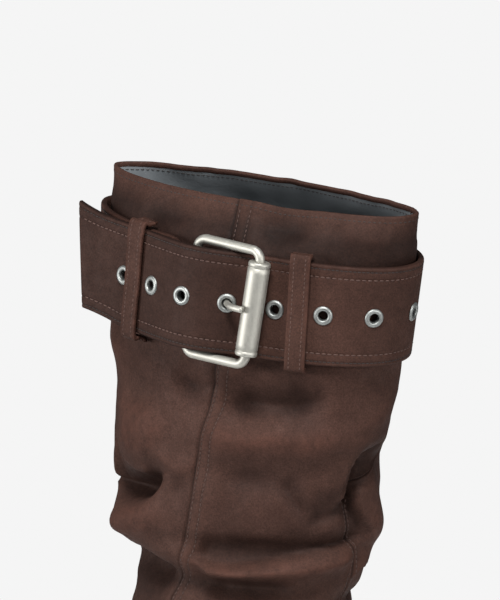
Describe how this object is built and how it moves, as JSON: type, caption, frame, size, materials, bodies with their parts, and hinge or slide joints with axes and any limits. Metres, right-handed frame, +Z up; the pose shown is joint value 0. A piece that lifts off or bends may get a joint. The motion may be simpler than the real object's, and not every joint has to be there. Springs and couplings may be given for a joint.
{
  "type": "slouch boot",
  "caption": "Slouchy leather boot with a gathered shaft and a wide buckled belt with eyelets round the collar; left foot.",
  "frame": {"origin": "on the floor, at the middle of the heel's underside", "axes": "+Z up, toe towards -X, outer side of the left foot towards -Y"},
  "size_m": [0.3042, 0.1117, 0.4025],
  "materials": {
    "upper_leather": "waxed, matte nap",
    "belt_leather": "waxed, matte nap",
    "lining": "smooth, matte",
    "sole": "matte",
    "heel": "stacked, waxed",
    "buckle_metal": "satin antique nickel",
    "eyelet_metal": "satin nickel"
  },
  "bodies": {
    "root": {"upper": "upper_leather", "insole": "lining", "outsole": "sole", "heel_block": "heel", "heel_top_piece": "sole", "belt_strap": "belt_leather", "loop_outer_front": "belt_leather", "loop_outer_back": "belt_leather", "loop_inner_front": "belt_leather", "loop_inner_back": "belt_leather", "buckle_frame": "buckle_metal", "buckle_roller": "buckle_metal", "buckle_prong": "buckle_metal", "eyelet_01": "eyelet_metal", "eyelet_02": "eyelet_metal", "eyelet_03": "eyelet_metal", "eyelet_04": "eyelet_metal", "eyelet_05": "eyelet_metal", "eyelet_06": "eyelet_metal", "eyelet_07": "eyelet_metal", "eyelet_08": "eyelet_metal", "eyelet_09": "eyelet_metal", "eyelet_10": "eyelet_metal", "eyelet_11": "eyelet_metal", "eyelet_12": "eyelet_metal", "eyelet_13": "eyelet_metal", "eyelet_14": "eyelet_metal", "eyelet_15": "eyelet_metal", "eyelet_16": "eyelet_metal", "eyelet_17": "eyelet_metal"}
  },
  "joints": []
}
